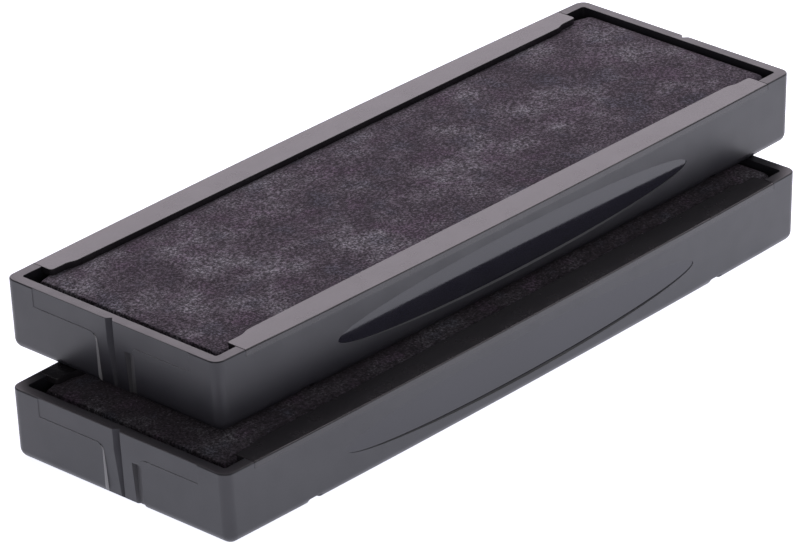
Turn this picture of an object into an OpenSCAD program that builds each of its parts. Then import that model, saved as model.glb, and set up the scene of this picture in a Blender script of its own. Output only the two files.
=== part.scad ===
// Stacked pair of flat ink pads: a moulded tray holds an ink core under a cloth,
// and a welded strip along each long side holds the cloth down.
// Millimetres, +Z up. The origin is the middle of the stack's footprint, on the table.

/* [Tray] */
// Length of one tray
tray_l = 85; // [60:1:120]
// Width of one tray at its ends
tray_w = 28.6; // [24:0.2:45]
// Height of one tray
tray_h = 7.7; // [6.6:0.1:14]
// How far each long side swells out at mid-length
side_swell = 0.5; // [0:0.1:1]
// Radius of the upright corners
corner_r = 1.1; // [0.5:0.1:2]
// Radius around the bottom edge
base_r = 1; // [0.2:0.1:1]
// Thickness of the end walls
end_wall = 1.2; // [1.1:0.05:2]
// Thickness of the long walls where they meet the ends
side_wall = 1.2; // [1:0.05:2]
// Thickness of the floor
floor_t = 1.2; // [0.8:0.1:2]

/* [Strips] */
// Thickness of a strip
strip_t = 0.7; // [0.4:0.05:1]
// How far a strip reaches in from the long wall's inner face
strip_lip = 1.65; // [0.8:0.05:3]
// Distance from the tray's end to a strip's end
strip_inset = 3.9; // [2.5:0.1:6]
// Length of a strip's narrower tip
tip_l = 3; // [1.5:0.5:5]
// Part of the tip's length over which it narrows
tip_slope = 0.8; // [0.2:0.1:1.2]
// How much narrower the tip is
tip_step = 0.35; // [0:0.05:0.7]
// Gap between a strip's end and its seat in the wall
seam_gap = 0.08; // [0.02:0.01:0.2]

/* [Cloth and core] */
// Thickness of the cloth at its edges
cloth_t = 0.8; // [0.4:0.1:1.4]
// Rise of the cloth's middle above its edges
cloth_crown = 0.35; // [0:0.05:0.35]
// Gap between the centred cloth and each end wall
cloth_end_gap = 0.85; // [0.6:0.05:1.5]
// How far the cloth and core lie off centre along the tray
cloth_shift = 0.4; // [0:0.05:0.5]
// Gap between the cloth and each long wall
cloth_side_gap = 0.3; // [0.1:0.05:0.8]
// How far the core stays inside the cloth's edge
core_inset = 0.2; // [0:0.1:1]

/* [Finger recesses] */
// Length of the oval recess in each long side
grip_l = 51.8; // [30:0.2:54]
// Height of the oval recess
grip_h = 4.6; // [2:0.1:4.8]
// Depth of the oval recess where the long side swells most
grip_depth = 0.25; // [0.2:0.05:0.7]
// Distance of the front recess from mid-length
grip_shift = -0.5; // [-2:0.1:2]

/* [Ends] */
// Height of the two raised panels low on each end
panel_h = 5.6; // [4:0.1:6]
// Width of the recess above the panels
recess_w = 22.8; // [10:0.2:23]
// Width of the channel between the panels
channel_w = 5.3; // [4:0.1:8]
// Distance of the channel's middle from the tray's middle
channel_shift = -0.35; // [-1:0.05:1]
// Radius of the panels' corners at the channel
panel_r = 0.9; // [0.3:0.1:1.5]
// Depth of the recess above the panels
recess_top = 0.06; // [0.04:0.01:0.2]
// Depth of the channel at the bottom
recess_bottom = 0.36; // [0.2:0.02:0.5]
// Width of the slot at the channel's edge
slot_w = 1.33; // [0.8:0.01:2]
// Height of the slot
slot_h = 4.8; // [2:0.1:6]
// Depth of the slot
slot_depth = 0.8; // [0.3:0.05:0.9]
// Width of the locating groove
groove_w = 1.1; // [0.5:0.05:1.5]
// Depth of the locating groove
groove_depth = 0.55; // [0.2:0.05:0.7]
// Distance of the groove from the tray's middle
groove_shift = 0.1; // [-0.5:0.05:0.5]

/* [Underside] */
// Distance of each bottom notch from the middle of its pair
notch_x = 29.9; // [20:0.1:36]
// Distance of the front pair's middle from mid-length
notch_shift = -0.7; // [-2:0.1:2]
// Width of a bottom notch
notch_w = 2; // [1:0.1:4]
// Height of a bottom notch
notch_h = 0.7; // [0.4:0.1:2]
// Depth of a bottom notch
notch_depth = 1.4; // [0.5:0.1:2]
// Width of the flat border around the shallow recess underneath
foot_w = 4; // [2:0.2:6]
// Depth of the recess underneath
foot_depth = 0.4; // [0.2:0.1:0.6]

/* [Stack] */
// How far the upper pad is moved along its length
stack_dx = 5.5; // [0:0.1:10]
// How far the upper pad is moved across its width
stack_dy = 5.5; // [0:0.1:8]
// How far the upper pad is turned, in degrees
stack_turn = -0.5; // [-2:0.1:2]

/* [Hidden] */

tray_black = [0.10, 0.10, 0.11];
strip_black = [0.16, 0.155, 0.165];
cloth_ink = [0.29, 0.26, 0.30];
core_ink = [0.13, 0.11, 0.17];

// Extra length of every cutter beyond the surface it opens
over = 1;
// Radius of the inner corners of the tray
inner_r = 0.3;
// Radius of a bottom notch's upper corners
notch_r = 0.3;
// Straight steps in a corner's quarter turn, a long side and an oval
corner_steps = 6;
side_steps = 20;
oval_steps = 64;

well_l = tray_l - 2 * end_wall;
well_w = tray_w - 2 * side_wall;
swell_l = tray_l / 2 - corner_r;
strip_l = tray_l - 2 * strip_inset;
strip_inner = well_w / 2 - strip_lip;
strip_z = tray_h - strip_t;
cloth_z = strip_z - cloth_t;
cloth_l = well_l - 2 * cloth_end_gap;
cloth_w = well_w - 2 * cloth_side_gap;

// A quarter turn of radius r about [x, y], from angle start
function quarter(x, y, r, start) =
    [for (i = [0:corner_steps]) let (a = start + 90 * i / corner_steps) [x + r * cos(a), y + r * sin(a)]];

// The long side on the +Y side, from +X to -X
function swollen_side() =
    [for (i = [1:side_steps - 1])
        let (t = 1 - 2 * i / side_steps)
        [t * swell_l, tray_w / 2 + side_swell * (1 - t * t)]];

// The tray's outline seen from above
function outline() =
    let (y = tray_w / 2 - corner_r,
         half = concat(quarter(swell_l, y, corner_r, 0), swollen_side(), quarter(-swell_l, y, corner_r, 90)))
    concat(half, [for (p = half) -p]);

// Rectangle with round corners
module round_rect(l, w, r) {
    square([l - 2 * r, w], center = true);
    square([l, w - 2 * r], center = true);
    for (x = [-1, 1], y = [-1, 1])
        translate([x * (l / 2 - r), y * (w / 2 - r)]) circle(r, $fn = 32);
}

// Upright section of width w with round bottom corners
module base_section(w) {
    translate([-w / 2, base_r]) square([w, tray_h]);
    translate([base_r - w / 2, 0]) square([w - 2 * base_r, tray_h]);
    for (side = [-1, 1])
        translate([side * (w / 2 - base_r), base_r]) circle(base_r, $fn = 32);
}

// The tray's outside, with a rounded bottom edge
module tray_block() {
    intersection() {
        linear_extrude(tray_h) polygon(outline());
        translate([-tray_l, 0, 0])
            rotate([90, 0, 90]) linear_extrude(2 * tray_l) base_section(tray_w + 2 * side_swell);
        translate([0, tray_w, 0])
            rotate([90, 0, 0]) linear_extrude(2 * tray_w) base_section(tray_l);
    }
}

// The seats in the long walls' tops that take the strips
module strip_seats() {
    seat_w = side_wall + side_swell + 2 * over;
    for (side = [-1, 1])
        translate([-strip_l / 2 - seam_gap, side * (well_w / 2 + seat_w / 2 - over) - seat_w / 2, strip_z])
            cube([strip_l + 2 * seam_gap, seat_w, strip_t + over]);
}

// Oval finger recesses at mid-height of both long sides
module grips() {
    for (turn = [0, 180])
        rotate([0, 0, turn])
            translate([grip_shift, -(tray_w / 2 + side_swell - grip_depth), tray_h / 2])
                rotate([90, 0, 0])
                    linear_extrude(grip_depth + over)
                        polygon([for (i = [0:oval_steps - 1])
                            let (a = 360 * i / oval_steps)
                            [grip_l / 2 * cos(a), grip_h / 2 * sin(a)]]);
}

// The recess and channel as one flat shape, seen from the -X end, with the panels' corners rounded
module recess_shape() {
    translate([-recess_w / 2, panel_h]) square([recess_w, tray_h - panel_h + over]);
    translate([channel_shift - channel_w / 2, -over]) square([channel_w, panel_h + 2 * over]);
    for (side = [-1, 1])
        translate([channel_shift + side * (channel_w + panel_r) / 2, panel_h - panel_r / 2])
            difference() {
                square(panel_r, center = true);
                translate([side * panel_r / 2, -panel_r / 2]) circle(panel_r, $fn = 48);
            }
}

// The recess and channel in the -X end, deepest at the bottom
module end_recess() {
    x = -tray_l / 2;
    intersection() {
        translate([x - over, 0, 0])
            rotate([90, 0, 90]) linear_extrude(2 * over) recess_shape();
        translate([0, tray_w, 0])
            rotate([90, 0, 0])
                linear_extrude(2 * tray_w)
                    polygon([[x - over, -over], [x + recess_bottom, -over], [x + recess_bottom, 0],
                             [x + recess_top, panel_h], [x + recess_top, tray_h + over],
                             [x - over, tray_h + over]]);
    }
}

// The slot beside the channel's front edge, open at the bottom
module slot() {
    translate([-tray_l / 2 - over, channel_shift - channel_w / 2, -over])
        cube([over + slot_depth, slot_w, over + slot_h]);
}

// The upright V-shaped locating groove
module locating_groove() {
    x = -tray_l / 2;
    translate([0, groove_shift, -over])
        linear_extrude(tray_h + 2 * over)
            polygon([[x - over, groove_w / 2], [x, groove_w / 2], [x + groove_depth, 0],
                     [x, -groove_w / 2], [x - over, -groove_w / 2]]);
}

// All cuts in the -X end
module end_cuts() {
    end_recess();
    slot();
    locating_groove();
}

// Notches with round upper corners in the bottom edge of the long sides
module bottom_notches() {
    for (turn = [0, 180], x = [-1, 1])
        rotate([0, 0, turn])
            translate([notch_shift + x * notch_x, notch_depth - tray_w / 2, 0])
                rotate([90, 0, 0])
                    linear_extrude(notch_depth + side_swell + over)
                        round_rect(notch_w, 2 * notch_h, notch_r);
}

module tray() {
    color(tray_black)
        difference() {
            tray_block();
            translate([0, 0, floor_t]) linear_extrude(tray_h) round_rect(well_l, well_w, inner_r);
            strip_seats();
            grips();
            bottom_notches();
            for (turn = [0, 180]) rotate([0, 0, turn]) end_cuts();
            translate([0, 0, -over])
                linear_extrude(over + foot_depth)
                    round_rect(tray_l - 2 * foot_w, tray_w - 2 * foot_w, inner_r);
        }
}

// The strip on the +Y side: flush with the tray outside, narrower at its tips
module back_strip() {
    h = strip_l / 2;
    y_out = tray_w / 2 + side_swell + over;
    y_tip = strip_inner + tip_step;
    color(strip_black)
        translate([0, 0, strip_z])
            linear_extrude(strip_t)
                intersection() {
                    polygon(outline());
                    polygon([[h, y_out], [-h, y_out], [-h, y_tip], [tip_l - tip_slope - h, y_tip],
                             [tip_l - h, strip_inner], [h - tip_l, strip_inner],
                             [h - tip_l + tip_slope, y_tip], [h, y_tip]]);
                }
}

module front_strip() {
    rotate([0, 0, 180]) back_strip();
}

// The cloth: flat under the strips and crowned between them
module ink_cloth() {
    steps = 16;
    crown = [for (i = [0:steps])
        let (t = 1 - 2 * i / steps)
        [t * strip_inner, strip_z + cloth_crown * (1 - t * t)]];
    edge = cloth_w / 2;
    color(cloth_ink)
        translate([cloth_shift - cloth_l / 2, 0, 0])
            rotate([90, 0, 90])
                linear_extrude(cloth_l)
                    polygon(concat([[-edge, strip_z], [-edge, cloth_z], [edge, cloth_z], [edge, strip_z]], crown));
}

// The foam core that holds the ink, from the floor to the cloth
module ink_core() {
    color(core_ink)
        translate([cloth_shift, 0, floor_t])
            linear_extrude(cloth_z - floor_t)
                round_rect(cloth_l - 2 * core_inset, cloth_w - 2 * core_inset, inner_r);
}

module at_lower() {
    translate([-stack_dx / 2, -stack_dy / 2, 0]) children();
}

module at_upper() {
    translate([stack_dx / 2, stack_dy / 2, tray_h]) rotate([0, 0, stack_turn]) children();
}

module lower_tray() { at_lower() tray(); }
module lower_ink_core() { at_lower() ink_core(); }
module lower_ink_cloth() { at_lower() ink_cloth(); }
module lower_front_strip() { at_lower() front_strip(); }
module lower_back_strip() { at_lower() back_strip(); }
module upper_tray() { at_upper() tray(); }
module upper_ink_core() { at_upper() ink_core(); }
module upper_ink_cloth() { at_upper() ink_cloth(); }
module upper_front_strip() { at_upper() front_strip(); }
module upper_back_strip() { at_upper() back_strip(); }

lower_tray();
lower_ink_core();
lower_ink_cloth();
lower_front_strip();
lower_back_strip();
upper_tray();
upper_ink_core();
upper_ink_cloth();
upper_front_strip();
upper_back_strip();
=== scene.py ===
import math

import bmesh
import bpy
from mathutils import Matrix, Vector


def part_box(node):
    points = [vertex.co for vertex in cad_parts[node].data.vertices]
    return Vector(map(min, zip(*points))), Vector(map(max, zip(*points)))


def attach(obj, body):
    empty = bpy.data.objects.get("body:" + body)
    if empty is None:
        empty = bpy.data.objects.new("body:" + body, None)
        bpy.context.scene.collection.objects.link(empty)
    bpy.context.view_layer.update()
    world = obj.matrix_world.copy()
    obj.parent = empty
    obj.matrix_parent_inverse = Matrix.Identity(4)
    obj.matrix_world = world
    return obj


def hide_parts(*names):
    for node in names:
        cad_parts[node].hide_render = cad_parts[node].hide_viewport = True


MM = 0.001

# ---------------------------------------------------------------- the frame
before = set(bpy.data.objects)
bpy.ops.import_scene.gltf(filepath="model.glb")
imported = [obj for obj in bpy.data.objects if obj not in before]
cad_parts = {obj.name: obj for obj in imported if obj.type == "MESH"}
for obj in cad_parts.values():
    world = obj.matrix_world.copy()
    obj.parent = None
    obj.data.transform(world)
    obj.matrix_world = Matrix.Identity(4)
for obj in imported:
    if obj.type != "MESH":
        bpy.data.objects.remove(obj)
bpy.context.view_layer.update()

tray_low, tray_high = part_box("lower_tray")
strip_low, strip_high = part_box("lower_back_strip")
cloth_low, cloth_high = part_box("lower_ink_cloth")
core_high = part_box("lower_ink_core")[1]
upper_low, upper_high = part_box("upper_tray")

# Where each pad's middle stands on its own underside, and how far the upper one is turned
CENTRES = {
    "lower": Vector(((tray_low.x + tray_high.x) / 2, (tray_low.y + tray_high.y) / 2, tray_low.z)),
    "upper": Vector(((upper_low.x + upper_high.x) / 2, (upper_low.y + upper_high.y) / 2, upper_low.z)),
}
UPPER_TURN = math.radians(-0.5)
TURNS = {"lower": 0.0, "upper": UPPER_TURN}

# Sizes of one pad, measured on the frame
TRAY_L = tray_high.x - tray_low.x
TRAY_FULL_W = tray_high.y - tray_low.y
TRAY_H = tray_high.z - tray_low.z
STRIP_L = strip_high.x - strip_low.x
STRIP_T = strip_high.z - strip_low.z
STRIP_FULL_W = strip_high.y - strip_low.y
CLOTH_L = cloth_high.x - cloth_low.x
CLOTH_W = cloth_high.y - cloth_low.y
CLOTH_SHIFT = (cloth_low.x + cloth_high.x) / 2 - CENTRES["lower"].x
CLOTH_Z = core_high.z - tray_low.z
CLOTH_TOP = cloth_high.z - tray_low.z

# Sizes that the frame's boxes don't give
SIDE_SWELL = 0.5 * MM
CORNER_R = 1.1 * MM
BASE_R = 1.0 * MM
RIM_R = 0.16 * MM
END_WALL = 1.2 * MM
SIDE_WALL = 1.2 * MM
FLOOR_T = 1.2 * MM
WELL_R = 0.3 * MM
SEAM_GAP = 0.04 * MM
TIP_L = 3.0 * MM
TIP_SLOPE = 0.8 * MM
TIP_STEP = 0.35 * MM
GRIP_L = 51.8 * MM
GRIP_H = 4.6 * MM
GRIP_DEPTH = 0.25 * MM
GRIP_SHIFT = -0.5 * MM
GRIP_SLOPE = 0.4
PANEL_H = 5.6 * MM
RECESS_W = 22.8 * MM
CHANNEL_W = 5.3 * MM
CHANNEL_SHIFT = -0.35 * MM
PANEL_R = 0.9 * MM
PANEL_SLOPE = 0.28 * MM
RAMP = 0.9 * MM
RECESS_TOP = 0.06 * MM
RECESS_BOTTOM = 0.36 * MM
SLOT_W = 1.33 * MM
SLOT_H = 4.8 * MM
SLOT_DEPTH = 0.8 * MM
GROOVE_W = 1.1 * MM
GROOVE_DEPTH = 0.55 * MM
GROOVE_SHIFT = 0.1 * MM
GROOVE_FLOOR = 0.02
NOTCH_X = 29.9 * MM
NOTCH_SHIFT = -0.7 * MM
NOTCH_W = 2.0 * MM
NOTCH_H = 0.7 * MM
NOTCH_DEPTH = 1.4 * MM
NOTCH_R = 0.3 * MM
FOOT_W = 4 * MM
FOOT_DEPTH = 0.4 * MM
END_LEAN = 0.35 * MM
TRAY_EDGE = 0.025 * MM
STRIP_EDGE = 0.07 * MM
TIP_R = 0.38 * MM
OVER = 1 * MM
NEAR = 1e-6

# How far past an edge its faces are still looked for
MARGIN = 0.1 * MM
SIDE_MARGIN = 0.2 * MM
STEP_MARGIN = 0.12 * MM
EDGE_MARGIN = 0.15 * MM
GROOVE_MARGIN = 0.02 * MM

TRAY_W = TRAY_FULL_W - 2 * SIDE_SWELL
WELL_L = TRAY_L - 2 * END_WALL
WELL_W = TRAY_W - 2 * SIDE_WALL
STRIP_Z = TRAY_H - STRIP_T
STRIP_INNER = TRAY_FULL_W / 2 - STRIP_FULL_W


# ---------------------------------------------------------------- modelling by hand
def only(piece):
    """Makes piece the one selected and active object."""
    bpy.ops.object.select_all(action="DESELECT")
    piece.select_set(True)
    bpy.context.view_layer.objects.active = piece


def edit(piece):
    only(piece)
    bpy.ops.object.mode_set(mode="EDIT")


def leave():
    bpy.ops.object.mode_set(mode="OBJECT")


def pick(piece, kind, test):
    """Selects the vertices, edges or faces of the piece being edited that pass the test."""
    bpy.ops.mesh.select_mode(type=kind)
    bpy.ops.mesh.select_all(action="DESELECT")
    bm = bmesh.from_edit_mesh(piece.data)
    for part in {"VERT": bm.verts, "EDGE": bm.edges, "FACE": bm.faces}[kind]:
        if test(part):
            part.select_set(True)
    bm.select_flush_mode()
    bmesh.update_edit_mesh(piece.data)


def block(name, low, high):
    """A block between two corners, with its place in its mesh."""
    bpy.ops.object.select_all(action="DESELECT")
    low, high = Vector(low), Vector(high)
    bpy.ops.mesh.primitive_cube_add(size=1, location=(low + high) / 2)
    piece = bpy.context.object
    piece.name = name
    piece.scale = high - low
    bpy.ops.object.transform_apply()
    return piece


def upright(edge):
    """Whether an edge stands upright."""
    a, b = (v.co for v in edge.verts)
    return (a.xy - b.xy).length < NEAR and abs(a.z - b.z) > NEAR


def split_at(points, axis=(1, 0, 0)):
    """Cuts the whole piece being edited across, at each point along an axis."""
    for point in points:
        bpy.ops.mesh.select_all(action="SELECT")
        bpy.ops.mesh.bisect(plane_co=Vector(axis) * point, plane_no=axis)


def rounded_block(name, low, high, radius, segments=4):
    """A block with round upright corners."""
    piece = block(name, low, high)
    edit(piece)
    pick(piece, "EDGE", upright)
    bpy.ops.mesh.bevel(offset=radius, segments=segments, affect="EDGES")
    leave()
    return piece


def apply_modifiers(piece):
    only(piece)
    for name in [m.name for m in piece.modifiers]:
        bpy.ops.object.modifier_apply(modifier=name)


def carve(piece, cutter, operation="DIFFERENCE"):
    """Cuts the cutter out of the piece, or keeps only what both fill, and removes the cutter."""
    boolean = piece.modifiers.new("carve", "BOOLEAN")
    boolean.operation = operation
    boolean.solver = "EXACT"
    boolean.object = cutter
    apply_modifiers(piece)
    bpy.data.objects.remove(cutter)


def turned(piece, turn, name="cutter"):
    """A copy of a piece, with its own mesh, turned round the pad's upright axis."""
    other = piece.copy()
    other.data = piece.data.copy()
    other.name = name
    bpy.context.collection.objects.link(other)
    other.data.transform(Matrix.Rotation(turn, 4, "Z"))
    return other


def carve_both_ways(piece, cutter):
    """Carves the cutter, and the same cutter turned half round."""
    carve(piece, turned(cutter, math.pi))
    carve(piece, cutter)


HARD_EDGE = math.radians(32)
SMOOTH_BELOW = math.radians(30)


def soften(piece, width, segments, stays_sharp):
    """Takes the sharpness off every hard edge, apart from those that stay sharp."""
    edit(piece)
    pick(piece, "EDGE", lambda e: e.is_manifold and e.calc_face_angle() > HARD_EDGE
         and not stays_sharp(e))
    bpy.ops.transform.edge_bevelweight(value=1)
    leave()
    bevel = piece.modifiers.new("soften", "BEVEL")
    bevel.width = width
    bevel.segments = segments
    bevel.limit_method = "WEIGHT"
    bevel.miter_outer = "MITER_ARC"
    bevel.use_clamp_overlap = False
    apply_modifiers(piece)
    only(piece)
    bpy.ops.object.shade_smooth_by_angle(angle=SMOOTH_BELOW)
    normals = piece.modifiers.new("flat_faces_first", "WEIGHTED_NORMAL")
    normals.keep_sharp = True
    normals.weight = 100
    apply_modifiers(piece)


# ---------------------------------------------------------------- the tray
SWELL_STEPS = 20


def tray_outside(name):
    """The tray's outside as one solid, round the pad's own centre."""
    piece = block(name, (-TRAY_L / 2, -TRAY_W / 2, 0), (TRAY_L / 2, TRAY_W / 2, TRAY_H))
    edit(piece)
    pick(piece, "EDGE", upright)
    bpy.ops.mesh.bevel(offset=CORNER_R, segments=8, affect="EDGES")
    swell_l = TRAY_L / 2 - CORNER_R
    columns = [1 - 2 * step / SWELL_STEPS for step in range(1, SWELL_STEPS)]
    split_at([t * swell_l for t in columns])
    for t in columns:
        pick(piece, "VERT", lambda v: abs(v.co.x - t * swell_l) < NEAR)
        widen = 1 + SIDE_SWELL * (1 - t * t) / (TRAY_W / 2)
        bpy.ops.transform.resize(value=(1, widen, 1), center_override=(0, 0, 0))
    for z, radius, segments in ((0, BASE_R, 6), (TRAY_H, RIM_R, 3)):
        pick(piece, "EDGE", lambda e: all(abs(v.co.z - z) < NEAR for v in e.verts)
             and any(abs(f.normal.z) < 0.5 for f in e.link_faces))
        bpy.ops.mesh.bevel(offset=radius, segments=segments, affect="EDGES")
    leave()
    return piece


def grip_cutter():
    """The cutter of the front finger recess: an oval that widens outwards, so its rim slopes."""
    depth = GRIP_DEPTH + OVER
    inner_y = -(TRAY_FULL_W / 2 - GRIP_DEPTH)
    bpy.ops.object.select_all(action="DESELECT")
    bpy.ops.mesh.primitive_cylinder_add(vertices=128, radius=1, depth=depth, rotation=(math.pi / 2, 0, 0))
    cutter = bpy.context.object
    cutter.scale = (GRIP_L / 2 - GRIP_SLOPE * GRIP_DEPTH, GRIP_H / 2 - GRIP_SLOPE * GRIP_DEPTH, 1)
    cutter.location = (GRIP_SHIFT, inner_y - depth / 2, TRAY_H / 2)
    bpy.ops.object.transform_apply()
    edit(cutter)
    pick(cutter, "VERT", lambda v: v.co.y < inner_y - NEAR)
    wider = [(half + GRIP_SLOPE * OVER) / (half - GRIP_SLOPE * GRIP_DEPTH)
             for half in (GRIP_L / 2, GRIP_H / 2)]
    bpy.ops.transform.resize(value=(wider[0], 1, wider[1]),
                             center_override=(GRIP_SHIFT, 0, TRAY_H / 2))
    leave()
    return cutter


def in_grip(co):
    """Whether a point lies on a finger recess's floor or rim."""
    return abs(co.x) < GRIP_L / 2 + OVER and abs(co.z - TRAY_H / 2) < GRIP_H / 2 + MARGIN \
        and abs(co.y) > TRAY_W / 2 - SIDE_MARGIN


def notch_cutter(x):
    """The cutter of a notch in the front's bottom edge, with round upper corners."""
    cutter = block("cutter", (x - NOTCH_W / 2, -TRAY_FULL_W / 2 - OVER, -OVER),
                   (x + NOTCH_W / 2, NOTCH_DEPTH - TRAY_W / 2, NOTCH_H))
    edit(cutter)
    pick(cutter, "EDGE", lambda e: all(v.co.z > 0 for v in e.verts)
         and abs(e.verts[0].co.x - e.verts[1].co.x) < NEAR)
    bpy.ops.mesh.bevel(offset=NOTCH_R, segments=4, affect="EDGES")
    leave()
    return cutter


def end_block(y, z, width, height, depth):
    """A cutter into the -X end, from y and z, to the depth given."""
    low = (-TRAY_L / 2 - OVER, y, z)
    return block("cutter", low, (-TRAY_L / 2 + depth, y + width, z + height))


def recess_cutter():
    """The cutter of the recess above the panels and the channel between them, deepest at the bottom."""
    cutter = end_block(-RECESS_W / 2, PANEL_H, RECESS_W, TRAY_H - PANEL_H + OVER, RECESS_TOP)
    edit(cutter)
    edges = [CHANNEL_SHIFT + side * CHANNEL_W / 2 for side in (-1, 1)]
    split_at(edges, (0, 1, 0))
    pick(cutter, "FACE", lambda f: f.normal.z < -0.5 and edges[0] < f.calc_center_median().y < edges[1])
    bpy.ops.mesh.extrude_region_move(TRANSFORM_OT_translate={"value": (0, 0, -PANEL_H - OVER)})
    pick(cutter, "EDGE", lambda e: all(abs(v.co.z - PANEL_H) < NEAR and
                                       min(abs(v.co.y - y) for y in edges) < NEAR for v in e.verts)
         and abs(e.verts[0].co.y - e.verts[1].co.y) < NEAR)
    bpy.ops.mesh.bevel(offset=PANEL_R, segments=8, affect="EDGES")
    split_at([0], (0, 0, 1))
    split_at([-TRAY_L / 2])
    inner = -TRAY_L / 2 + NEAR
    pick(cutter, "VERT", lambda v: v.co.x > inner and v.co.z < PANEL_H - NEAR)
    bpy.ops.transform.resize(value=(1, 1 - 2 * PANEL_SLOPE / CHANNEL_W, 1),
                             center_override=(0, CHANNEL_SHIFT, 0))
    pick(cutter, "VERT", lambda v: v.co.x > inner and abs(v.co.y) > RECESS_W / 2 - NEAR)
    bpy.ops.transform.resize(value=(1, 1 - 2 * RAMP / RECESS_W, 1), center_override=(0, 0, 0))
    leave()
    slope = (RECESS_BOTTOM - RECESS_TOP) / PANEL_H
    for vertex in cutter.data.vertices:
        if vertex.co.x > inner:
            vertex.co.x += slope * (PANEL_H - min(max(vertex.co.z, 0), PANEL_H))
    return cutter


def groove_cutter():
    """The upright V-shaped groove's cutter."""
    cutter = end_block(GROOVE_SHIFT - GROOVE_W / 2, -OVER, GROOVE_W, TRAY_H + 2 * OVER, GROOVE_DEPTH)
    edit(cutter)
    split_at([-TRAY_L / 2])
    pick(cutter, "VERT", lambda v: v.co.x > GROOVE_DEPTH - TRAY_L / 2 - NEAR)
    bpy.ops.transform.resize(value=(1, GROOVE_FLOOR, 1), center_override=(0, GROOVE_SHIFT, 0))
    leave()
    return cutter


def on_outer_seam(edge):
    """Whether an edge is part of the seam between a strip and the wall's outer face."""
    outside = all(abs(v.co.y) > WELL_W / 2 + SIDE_WALL / 2 for v in edge.verts)
    at_end = all(abs(abs(v.co.x) - STRIP_L / 2) < 2 * SEAM_GAP for v in edge.verts)
    return outside and (at_end or all(abs(v.co.z - STRIP_Z) < NEAR for v in edge.verts))


def add_tray():
    tray = tray_outside("lower_tray_moulding")
    over_top = TRAY_H + OVER
    carve(tray, rounded_block("cutter", (-WELL_L / 2, -WELL_W / 2, FLOOR_T),
                              (WELL_L / 2, WELL_W / 2, over_top), WELL_R))
    seat = STRIP_L / 2 + SEAM_GAP
    carve_both_ways(tray, block("cutter", (-seat, WELL_W / 2 - OVER, STRIP_Z),
                                (seat, TRAY_FULL_W / 2 + OVER, over_top)))
    carve_both_ways(tray, grip_cutter())
    for x in (NOTCH_SHIFT - NOTCH_X, NOTCH_SHIFT + NOTCH_X):
        carve_both_ways(tray, notch_cutter(x))
    carve_both_ways(tray, recess_cutter())
    slot_y = CHANNEL_SHIFT - CHANNEL_W / 2
    carve_both_ways(tray, end_block(slot_y, -OVER, SLOT_W, SLOT_H + OVER, SLOT_DEPTH))
    carve_both_ways(tray, groove_cutter())
    carve(tray, rounded_block("cutter", (FOOT_W - TRAY_L / 2, FOOT_W - TRAY_W / 2, -OVER),
                              (TRAY_L / 2 - FOOT_W, TRAY_W / 2 - FOOT_W, FOOT_DEPTH), WELL_R))
    soften(tray, TRAY_EDGE, 2, lambda e: on_outer_seam(e) or all(in_grip(v.co) for v in e.verts))
    return tray


def lean_ends(tray):
    """Leans the end walls' outsides in towards the bottom, as a moulding's draft does."""
    for vertex in tray.data.vertices:
        if abs(vertex.co.x) > WELL_L / 2 + NEAR:
            vertex.co.x -= math.copysign(END_LEAN * (1 - vertex.co.z / TRAY_H), vertex.co.x)


# ---------------------------------------------------------------- the strips
def add_strip():
    """The strip along the +Y side: flush with the tray outside, narrower at its tips."""
    strip = tray_outside("lower_back_strip_moulding")
    h = STRIP_L / 2
    cutter = block("cutter", (-h, STRIP_INNER, STRIP_Z), (h, TRAY_FULL_W, TRAY_H + OVER))
    edit(cutter)
    tip = h - TIP_L + TIP_SLOPE
    split_at((-tip, TIP_L - h, h - TIP_L, tip))
    pick(cutter, "VERT", lambda v: abs(v.co.x) > tip - NEAR and v.co.y < STRIP_INNER + NEAR)
    bpy.ops.transform.translate(value=(0, TIP_STEP, 0))
    pick(cutter, "EDGE", lambda e: upright(e) and e.verts[0].co.y < STRIP_INNER + TIP_STEP + NEAR)
    bpy.ops.mesh.bevel(offset=TIP_R, segments=4, affect="EDGES")
    leave()
    carve(strip, cutter, "INTERSECT")
    soften(strip, STRIP_EDGE, 3, on_outer_seam)
    return strip


# ---------------------------------------------------------------- the cloth
CLOTH_STEP = 1.05 * MM
SIDE_ROOM = 0.1 * MM
SHEET_SINK = 0.02 * MM
END_LOOP = 0.15 * MM
FIBRE_ROOM = 0.07 * MM
SIM_SCALE = 20
HELD_GAP = 0.05 * MM
FREE_GAP = 0.3 * MM
LEAST_SWELL = 0.6
FADE = 1.2 * MM
FLATNESS = 0.3
PRESSURE = 4
LAST_FRAME = 14
LEAST_RISE = 0.01 * MM
TOP_DEPTH = 0.12 * MM
UNDER_STRIP = 0.4 * MM

# How far from a free end its corners are pulled in, and to what share of the width
CORNER_PULLS = ((0.3 * MM, 0.98), (1.6 * MM, 0.965))

# The felt's patterns: grain and height
FELT_RELIEF = (("lumps", 6 * MM, 0.10 * MM), ("tufts", 1.3 * MM, 0.07 * MM),
               ("fibres", 0.35 * MM, 0.07 * MM))


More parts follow.
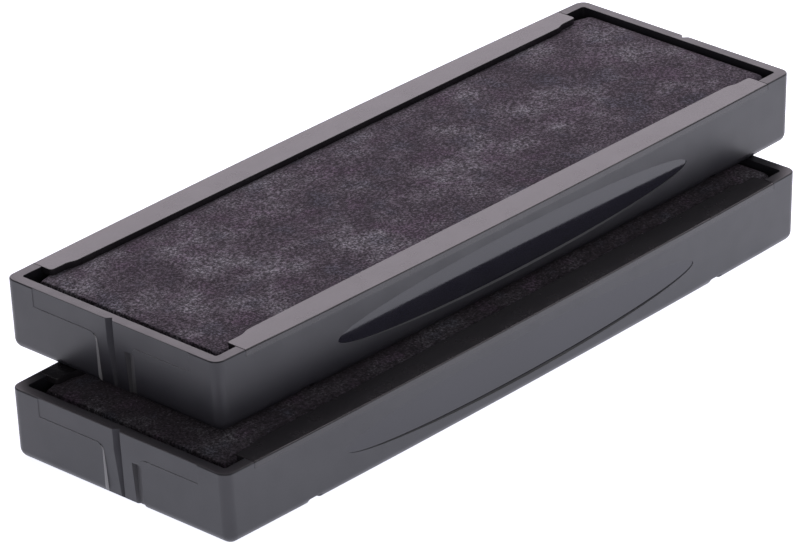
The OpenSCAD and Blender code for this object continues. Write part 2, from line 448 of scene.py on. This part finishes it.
def add_cloth():
    """The ink cloth: a felt sheet, held down under the strips and swollen between them."""
    bpy.ops.object.select_all(action="DESELECT")
    columns, rows = round(CLOTH_L / CLOTH_STEP), round(CLOTH_W / CLOTH_STEP)
    bpy.ops.mesh.primitive_grid_add(x_subdivisions=columns, y_subdivisions=rows, size=1,
                                    location=(CLOTH_SHIFT, 0, STRIP_Z - SHEET_SINK))
    cloth = bpy.context.object
    cloth.name = "lower_ink_cloth_felt"
    cloth.scale = (CLOTH_L, CLOTH_W - 2 * SIDE_ROOM, 1)
    bpy.ops.object.transform_apply()
    edit(cloth)
    split_at([CLOTH_SHIFT + side * (CLOTH_L / 2 - END_LOOP) for side in (-1, 1)])
    split_at([side * (STRIP_INNER - gap) for side in (-1, 1) for gap in (FREE_GAP, HELD_GAP)], (0, 1, 0))
    bpy.ops.mesh.select_all(action="SELECT")
    bpy.ops.mesh.extrude_region_move(
        TRANSFORM_OT_translate={"value": (0, 0, CLOTH_Z - STRIP_Z + 2 * SHEET_SINK)})
    bpy.ops.mesh.select_all(action="SELECT")
    bpy.ops.mesh.normals_make_consistent(inside=False)
    cut_corners(cloth)
    leave()
    swell(cloth)
    rough_up(cloth)
    return cloth


def cut_corners(cloth):
    """Pulls the free ends' corners in, where no strip holds them."""
    end = CLOTH_L / 2
    for side in (-1, 1):
        for depth, pull in CORNER_PULLS:
            pick(cloth, "VERT", lambda v: side * (v.co.x - CLOTH_SHIFT) > end - depth)
            bpy.ops.transform.resize(value=(1, pull, 1), center_override=(0, 0, 0))


def swell(cloth):
    """Presses the cloth up between the strips, as the ink-soaked core does."""
    top = [v.index for v in cloth.data.vertices if v.co.z > (STRIP_Z + CLOTH_Z) / 2]
    held_y = STRIP_INNER - HELD_GAP - NEAR
    free = [i for i in top if abs(cloth.data.vertices[i].co.y) < held_y
            or abs(cloth.data.vertices[i].co.x) > STRIP_L / 2]
    held = cloth.vertex_groups.new(name="held")
    held.add([v.index for v in cloth.data.vertices if v.index not in set(free)], 1, "REPLACE")
    rest = [v.co.copy() for v in cloth.data.vertices]
    cloth.data.transform(Matrix.Scale(SIM_SCALE, 4))
    press = cloth.modifiers.new("press", "CLOTH")
    press.settings.use_pressure = True
    press.settings.uniform_pressure_force = PRESSURE
    press.settings.vertex_group_mass = "held"
    press.settings.effector_weights.gravity = 0
    press.settings.quality = 6
    press.collision_settings.use_collision = False
    for step in range(1, LAST_FRAME + 1):
        bpy.context.scene.frame_set(step)
    apply_modifiers(cloth)
    bpy.context.scene.frame_set(1)
    cloth.data.transform(Matrix.Scale(1 / SIM_SCALE, 4))
    vertices = cloth.data.vertices
    rise = max(max(vertices[i].co.z - rest[i].z for i in free), LEAST_RISE)
    crown = CLOTH_TOP - STRIP_Z - FIBRE_ROOM
    shares = [min(1, max(0, vertex.co.z - rest[i].z) / rise) ** FLATNESS
              for i, vertex in enumerate(vertices)]
    for i in free:
        shares[i] = max(shares[i], LEAST_SWELL)
    for vertex, place, share in zip(vertices, rest, shares):
        vertex.co = place + Vector((0, 0, crown * share))


def rough_up(cloth):
    """Two more levels of mesh, then the felt's lumps and fibres on its upper face."""
    finer = cloth.modifiers.new("finer", "SUBSURF")
    finer.levels = finer.render_levels = 2
    apply_modifiers(cloth)
    top = cloth.vertex_groups.new(name="top")
    for vertex in cloth.data.vertices:
        if vertex.co.z > STRIP_Z - TOP_DEPTH:
            from_strip = (STRIP_INNER + UNDER_STRIP - abs(vertex.co.y)) / FADE
            from_end = (CLOTH_L / 2 - abs(vertex.co.x - CLOTH_SHIFT)) / FADE
            top.add([vertex.index], max(0, min(1, from_strip, from_end)), "REPLACE")
    for name, grain, lift in FELT_RELIEF:
        cloud = bpy.data.textures.new(name, "CLOUDS")
        cloud.noise_scale = grain
        cloud.noise_depth = 2
        push = cloth.modifiers.new(name, "DISPLACE")
        push.texture = cloud
        push.texture_coords = "LOCAL"
        push.direction = "Z"
        push.mid_level = 0.5
        push.strength = lift
        push.vertex_group = "top"
    apply_modifiers(cloth)
    only(cloth)
    bpy.ops.object.shade_smooth()


# ---------------------------------------------------------------- materials
class Finish:
    """A procedural material, built node by node."""

    def __init__(self, name, **values):
        self.material = bpy.data.materials.new(name)
        self.material.use_nodes = True
        self.tree = self.material.node_tree
        self.shader = self.tree.nodes["Principled BSDF"]
        for socket, value in values.items():
            self.shader.inputs[socket.replace("_", " ").title().replace("Ior", "IOR")].default_value = value
        self.place = self.tree.nodes.new("ShaderNodeTexCoord").outputs["Object"]

    def join(self, source, target):
        self.tree.links.new(source, target)
        return source

    def noise(self, size, detail=2, roughness=0.5, stretch=None):
        """A soft random pattern whose features are about the size given."""
        node = self.tree.nodes.new("ShaderNodeTexNoise")
        node.inputs["Scale"].default_value = 1 / size
        node.inputs["Detail"].default_value = detail
        node.inputs["Roughness"].default_value = roughness
        source = self.place
        if stretch:
            mapping = self.tree.nodes.new("ShaderNodeMapping")
            mapping.inputs["Scale"].default_value = stretch
            self.join(source, mapping.inputs["Vector"])
            source = mapping.outputs["Vector"]
        self.join(source, node.inputs["Vector"])
        return node.outputs["Fac"]

    def ramp(self, source, *stops):
        """Colours or greys at stops along a pattern."""
        node = self.tree.nodes.new("ShaderNodeValToRGB")
        elements = node.color_ramp.elements
        while len(elements) < len(stops):
            elements.new(0.5)
        for element, (position, colour) in zip(elements, stops):
            element.position = position
            element.color = (*colour, 1) if isinstance(colour, tuple) else (colour, colour, colour, 1)
        self.join(source, node.inputs["Fac"])
        return node.outputs["Color"]

    def mix(self, a, b, factor=None, blend="MIX", amount=1.0):
        """Two colours joined, by a pattern or by a fixed amount."""
        node = self.tree.nodes.new("ShaderNodeMix")
        node.data_type = "RGBA"
        node.blend_type = blend
        node.inputs["Factor"].default_value = amount
        if factor is not None:
            self.join(factor, node.inputs["Factor"])
        for source, socket in ((a, node.inputs[6]), (b, node.inputs[7])):
            if isinstance(source, tuple):
                socket.default_value = (*source, 1)
            else:
                self.join(source, socket)
        return node.outputs[2]

    def bump(self, source, height):
        node = self.tree.nodes.new("ShaderNodeBump")
        node.inputs["Distance"].default_value = height
        self.join(source, node.inputs["Height"])
        previous = self.shader.inputs["Normal"].links
        if previous:
            self.join(previous[0].from_socket, node.inputs["Normal"])
        self.join(node.outputs["Normal"], self.shader.inputs["Normal"])

    def set(self, socket, source):
        self.join(source, self.shader.inputs[socket])


def moulded_plastic(name, dark, light, rough_low, rough_high, grain):
    """Black moulded plastic: a slightly uneven tone and gloss, and a fine surface grain."""
    finish = Finish(name, ior=1.56)
    tone = finish.noise(9 * MM, 3)
    finish.set("Base Color", finish.ramp(tone, (0.35, dark), (0.65, light)))
    gloss = finish.noise(2.5 * MM, 4)
    finish.set("Roughness", finish.ramp(gloss, (0.35, rough_low), (0.65, rough_high)))
    finish.bump(finish.noise(0.22 * MM, 2), grain)
    return finish.material


def felt(name, painted_shade_scale):
    """Ink-soaked brushed felt: dark violet grey, clouded, with pale fibres; every shade is multiplied by
    the scale given, and a scale below one paints the felt darker as shade.
    """
    finish = Finish(name, roughness=0.95, specular_ior_level=0.2, sheen_weight=0.3,
                    sheen_roughness=0.5, sheen_tint=(0.66, 0.57, 0.66, 1))
    clouds = finish.noise(6 * MM, 4, 0.6)
    shades = ((0.36, (0.057, 0.047, 0.062)), (0.50, (0.088, 0.073, 0.092)),
              (0.60, (0.144, 0.132, 0.154)), (0.72, (0.237, 0.228, 0.256)))
    # The scale multiplies every shade: below one it is painted shade
    base = finish.ramp(clouds, *((at, tuple(painted_shade_scale * part for part in shade)) for at, shade in shades))
    hue = finish.noise(3.4 * MM, 1)
    cool = finish.mix(base, (0.060, 0.075, 0.105), finish.ramp(hue, (0.57, 0.0), (0.68, 0.3)))
    warm = finish.mix(cool, (0.092, 0.056, 0.094), finish.ramp(hue, (0.32, 0.45), (0.43, 0.0)))
    grain = finish.noise(0.26 * MM, 3, 0.75)
    grained = finish.mix(warm, finish.ramp(grain, (0.36, 0.10), (0.50, 0.8), (0.66, 3.1)),
                         blend="MULTIPLY")
    specks = finish.noise(0.36 * MM, 1, 0.5)
    finish.set("Base Color", finish.mix(grained, (0.30, 0.27, 0.31),
                                        finish.ramp(specks, (0.70, 0.0), (0.78, 0.8))))
    finish.bump(grain, 0.05 * MM)
    finish.bump(finish.noise(0.9 * MM, 2), 0.06 * MM)
    return finish.material


def foam():
    """The open-cell core, soaked in dark ink."""
    finish = Finish("ink_foam", roughness=0.8)
    cells = finish.tree.nodes.new("ShaderNodeTexVoronoi")
    cells.inputs["Scale"].default_value = 1 / (0.5 * MM)
    finish.join(finish.place, cells.inputs["Vector"])
    finish.set("Base Color", finish.ramp(cells.outputs["Distance"], (0.0, (0.006, 0.005, 0.010)),
                                         (0.7, (0.022, 0.017, 0.032))))
    finish.bump(cells.outputs["Distance"], 0.2 * MM)
    return finish.material


# ---------------------------------------------------------------- camera, light and floor
AIM = Vector((-2.21, 0.0, 6.57)) * MM
VIEW_AZIMUTH = math.radians(-47.20)
VIEW_ELEVATION = math.radians(26.63)
VIEW_ROLL = math.radians(-1.60)
VIEW_DISTANCE = 579 * MM
LENS = 261.5
FRAME_WIDTH = 36
NEAREST = 0.01
SKY_STRENGTH = 0.14
FLOOR_SIZE = 4

# The floor glows a little more towards the right, across the view
FLOOR_GLOW = (("From Min", -0.06), ("From Max", 0.06), ("To Min", 0.95), ("To Max", 1.3))

# Each softbox: azimuth and elevation in degrees, distance, width, height, radiance, tint
SOFTBOXES = {
    "back_softbox": (133, 32, 0.6, 0.7, 0.5, 2.0, (1.0, 0.90, 1.0)),
    "right_softbox": (57, 36, 0.6, 0.4, 0.3, 0.8, (0.97, 0.97, 1.0)),
    "front_fill": (-50, 16, 0.62, 0.6, 0.25, 0.8, (1.0, 0.97, 1.0)),
}


def direction(azimuth, elevation):
    """The unit vector from the object towards a viewpoint or a lamp."""
    return Vector((math.sin(azimuth) * math.cos(elevation),
                   -math.cos(azimuth) * math.cos(elevation),
                   math.sin(elevation)))


def add_camera():
    """The viewpoint: from the front left, above the pads, through a long lens."""
    back = direction(VIEW_AZIMUTH, VIEW_ELEVATION)
    bpy.ops.object.camera_add(location=AIM + back * VIEW_DISTANCE)
    camera = bpy.context.object
    turn = back.to_track_quat("Z", "Y").to_matrix()
    camera.rotation_euler = (turn @ Matrix.Rotation(VIEW_ROLL, 3, "Z")).to_euler()
    camera.data.lens = LENS
    camera.data.sensor_width = FRAME_WIDTH
    camera.data.clip_start = NEAREST
    bpy.context.scene.camera = camera


def softbox(name, azimuth, elevation, distance, width, height, radiance, tint):
    """A lit panel that faces the pads."""
    away = direction(math.radians(azimuth), math.radians(elevation))
    bpy.ops.object.light_add(type="AREA", location=AIM + away * distance)
    lamp = bpy.context.object
    lamp.name = name
    lamp.data.shape = "RECTANGLE"
    lamp.data.size = width
    lamp.data.size_y = height
    lamp.data.energy = radiance * math.pi * width * height
    lamp.data.color = tint
    lamp.rotation_euler = away.to_track_quat("Z", "Y").to_euler()


def add_lights():
    world = bpy.data.worlds.new("studio")
    world.use_nodes = True
    world.node_tree.nodes["Background"].inputs["Color"].default_value = (1, 1, 1, 1)
    world.node_tree.nodes["Background"].inputs["Strength"].default_value = SKY_STRENGTH
    bpy.context.scene.world = world
    bpy.context.scene.view_settings.view_transform = "Standard"
    for name, values in SOFTBOXES.items():
        softbox(name, *values)


def add_floor():
    """A pale table top, lit from within so that it stays white round the pads."""
    bpy.ops.object.select_all(action="DESELECT")
    bpy.ops.mesh.primitive_plane_add(size=FLOOR_SIZE)
    floor = bpy.context.object
    floor.name = "floor"
    table = Finish("pale_table", base_color=(0.8, 0.8, 0.8, 1), roughness=0.6,
                   emission_color=(0.93, 0.94, 1.05, 1))
    across = table.tree.nodes.new("ShaderNodeVectorMath")
    across.operation = "DOT_PRODUCT"
    across.inputs[1].default_value = (1, -1, 0)
    table.join(table.place, across.inputs[0])
    glow = table.tree.nodes.new("ShaderNodeMapRange")
    for socket, value in FLOOR_GLOW:
        glow.inputs[socket].default_value = value
    table.join(across.outputs["Value"], glow.inputs["Value"])
    table.set("Emission Strength", glow.outputs["Result"])
    floor.data.materials.append(table.material)


# ---------------------------------------------------------------- placing the pieces
# A face whose normal rises less than this counts as a side
STEEP = 0.7


def belongs(piece, pad, node):
    """Puts a piece where its pad is, and says what it rides on and stands for."""
    piece.data.transform(Matrix.Translation(CENTRES[pad]) @ Matrix.Rotation(TURNS[pad], 4, "Z"))
    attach(piece, pad + "_pad")
    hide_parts(f"{pad}_{node}")


def finish_faces(piece, material, test):
    """Gives the faces that pass the test their own finish."""
    piece.data.materials.append(material)
    for face in piece.data.polygons:
        if test(face.center, face.normal):
            face.material_index = len(piece.data.materials) - 1


def on_grip_floor(centre, normal):
    return abs(normal.y) > 0.999 and in_grip(centre) \
        and abs(abs(centre.y) - TRAY_FULL_W / 2 + GRIP_DEPTH) < NEAR


def on_grip_rim(centre, normal):
    """Whether a face is the sloping lower rim of a finger recess."""
    return in_grip(centre) and centre.z < TRAY_H / 2 and 0.3 < normal.z < 0.99


def on_panel_top(centre, normal):
    """Whether a face is the small step along the top of a panel."""
    return abs(centre.x) > TRAY_L / 2 - STEP_MARGIN and abs(centre.z - PANEL_H) < STEP_MARGIN \
        and abs(centre.y) < RECESS_W / 2 + MARGIN and normal.z > 0.1


def across_end(centre):
    """How far along y a point is from the middle of the -X end, or of the turned +X end."""
    return -centre.y if centre.x > 0 else centre.y


def in_groove(centre, normal):
    """Whether a face lies in a locating groove."""
    inside = TRAY_L / 2 - GROOVE_DEPTH - NEAR < abs(centre.x) < TRAY_L / 2 - MARGIN
    across = abs(across_end(centre) - GROOVE_SHIFT)
    return inside and abs(normal.z) < STEEP and across < GROOVE_W / 2 - GROOVE_MARGIN


def in_slot(centre, normal):
    """Whether a face lies in the slot at the bottom of a channel."""
    inside = TRAY_L / 2 - SLOT_DEPTH - NEAR < abs(centre.x) < TRAY_L / 2 - RECESS_BOTTOM
    middle = CHANNEL_SHIFT - (CHANNEL_W - SLOT_W) / 2
    return inside and abs(normal.z) < STEEP and centre.z < SLOT_H \
        and abs(across_end(centre) - middle) < SLOT_W / 2 + NEAR


def on_panel_edge(centre, normal):
    """Whether a face is the sloping edge of the panel beside the groove."""
    return abs(centre.x) > TRAY_L / 2 - RECESS_BOTTOM - NEAR and centre.z < PANEL_H - SIDE_MARGIN \
        and abs(normal.z) < 0.6 and 0.3 < abs(normal.y) < 0.98 \
        and abs(across_end(centre) - CHANNEL_SHIFT - CHANNEL_W / 2) < PANEL_SLOPE + EDGE_MARGIN


add_camera()
add_lights()
add_floor()

gloss_black = moulded_plastic("tray_black", (0.020, 0.019, 0.025), (0.025, 0.024, 0.030),
                              0.36, 0.42, 0.004 * MM)
satin_black = moulded_plastic("strip_black", (0.022, 0.019, 0.023), (0.028, 0.025, 0.029),
                              0.22, 0.28, 0.005 * MM)
polished_black = moulded_plastic("recess_black", (0.009, 0.008, 0.016), (0.011, 0.010, 0.019),
                                 0.05, 0.08, 0.001 * MM)
cut_black = moulded_plastic("cut_black", (0.030, 0.029, 0.036), (0.038, 0.037, 0.044),
                            0.75, 0.85, 0.01 * MM)
# Painted highlight: a much lighter copy of the tray plastic, standing in for the thin bright reflection
# along the panel's sloping edge
rubbed_black = moulded_plastic("rubbed_black", (0.24, 0.235, 0.24), (0.32, 0.315, 0.32),
                               0.35, 0.5, 0.008 * MM)
# Painted light: a lighter copy of the tray plastic in the end slots, lifting the shade that falls in them
slot_painted_light_black = moulded_plastic("slot_painted_light_black", (0.09, 0.088, 0.095), (0.11, 0.108, 0.115),
                             0.6, 0.7, 0.008 * MM)
# Painted highlight: a lighter copy of the tray plastic, drawing the thin light lines along the finger
# recess's lower rim and the step on a panel's top
dull_painted_highlight_black = moulded_plastic("dull_painted_highlight_black", (0.13, 0.128, 0.135), (0.16, 0.158, 0.165),
                             0.5, 0.6, 0.008 * MM)

tray = add_tray()
tray.data.materials.append(gloss_black)
finish_faces(tray, polished_black, on_grip_floor)
finish_faces(tray, cut_black, in_groove)
# The end slots get the painted light that lifts their shade
finish_faces(tray, slot_painted_light_black, in_slot)
# The panel's sloping edge gets the painted highlight
finish_faces(tray, rubbed_black, on_panel_edge)
# Painted highlight on the recess rims and on the panel steps
finish_faces(tray, dull_painted_highlight_black, on_grip_rim)
finish_faces(tray, dull_painted_highlight_black, on_panel_top)
lean_ends(tray)
back_strip = add_strip()
back_strip.data.materials.append(satin_black)
front_strip = turned(back_strip, math.pi, "lower_front_strip_moulding")
cloth = add_cloth()
# Painted shade: the lower pad's felt is drawn at half brightness, for the shade cast by the pad above it
cloth.data.materials.append(felt("lower_ink_felt", 0.5))

core_foam = foam()
for pad in ("lower", "upper"):
    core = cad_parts[pad + "_ink_core"]
    core.data.materials.clear()
    core.data.materials.append(core_foam)

for piece, node, slot in ((tray, "tray", "tray_plastic"), (back_strip, "back_strip", "strip_plastic"),
                          (front_strip, "front_strip", "strip_plastic"), (cloth, "ink_cloth", "ink_cloth")):
    other = turned(piece, 0, piece.name.replace("lower", "upper"))
    belongs(other, "upper", node)
    belongs(piece, "lower", node)
    if node == "ink_cloth":
        # The upper pad's felt keeps full brightness; only the lower pad's felt carries the painted shade
        other.data.materials[0] = felt("upper_ink_felt", 1)
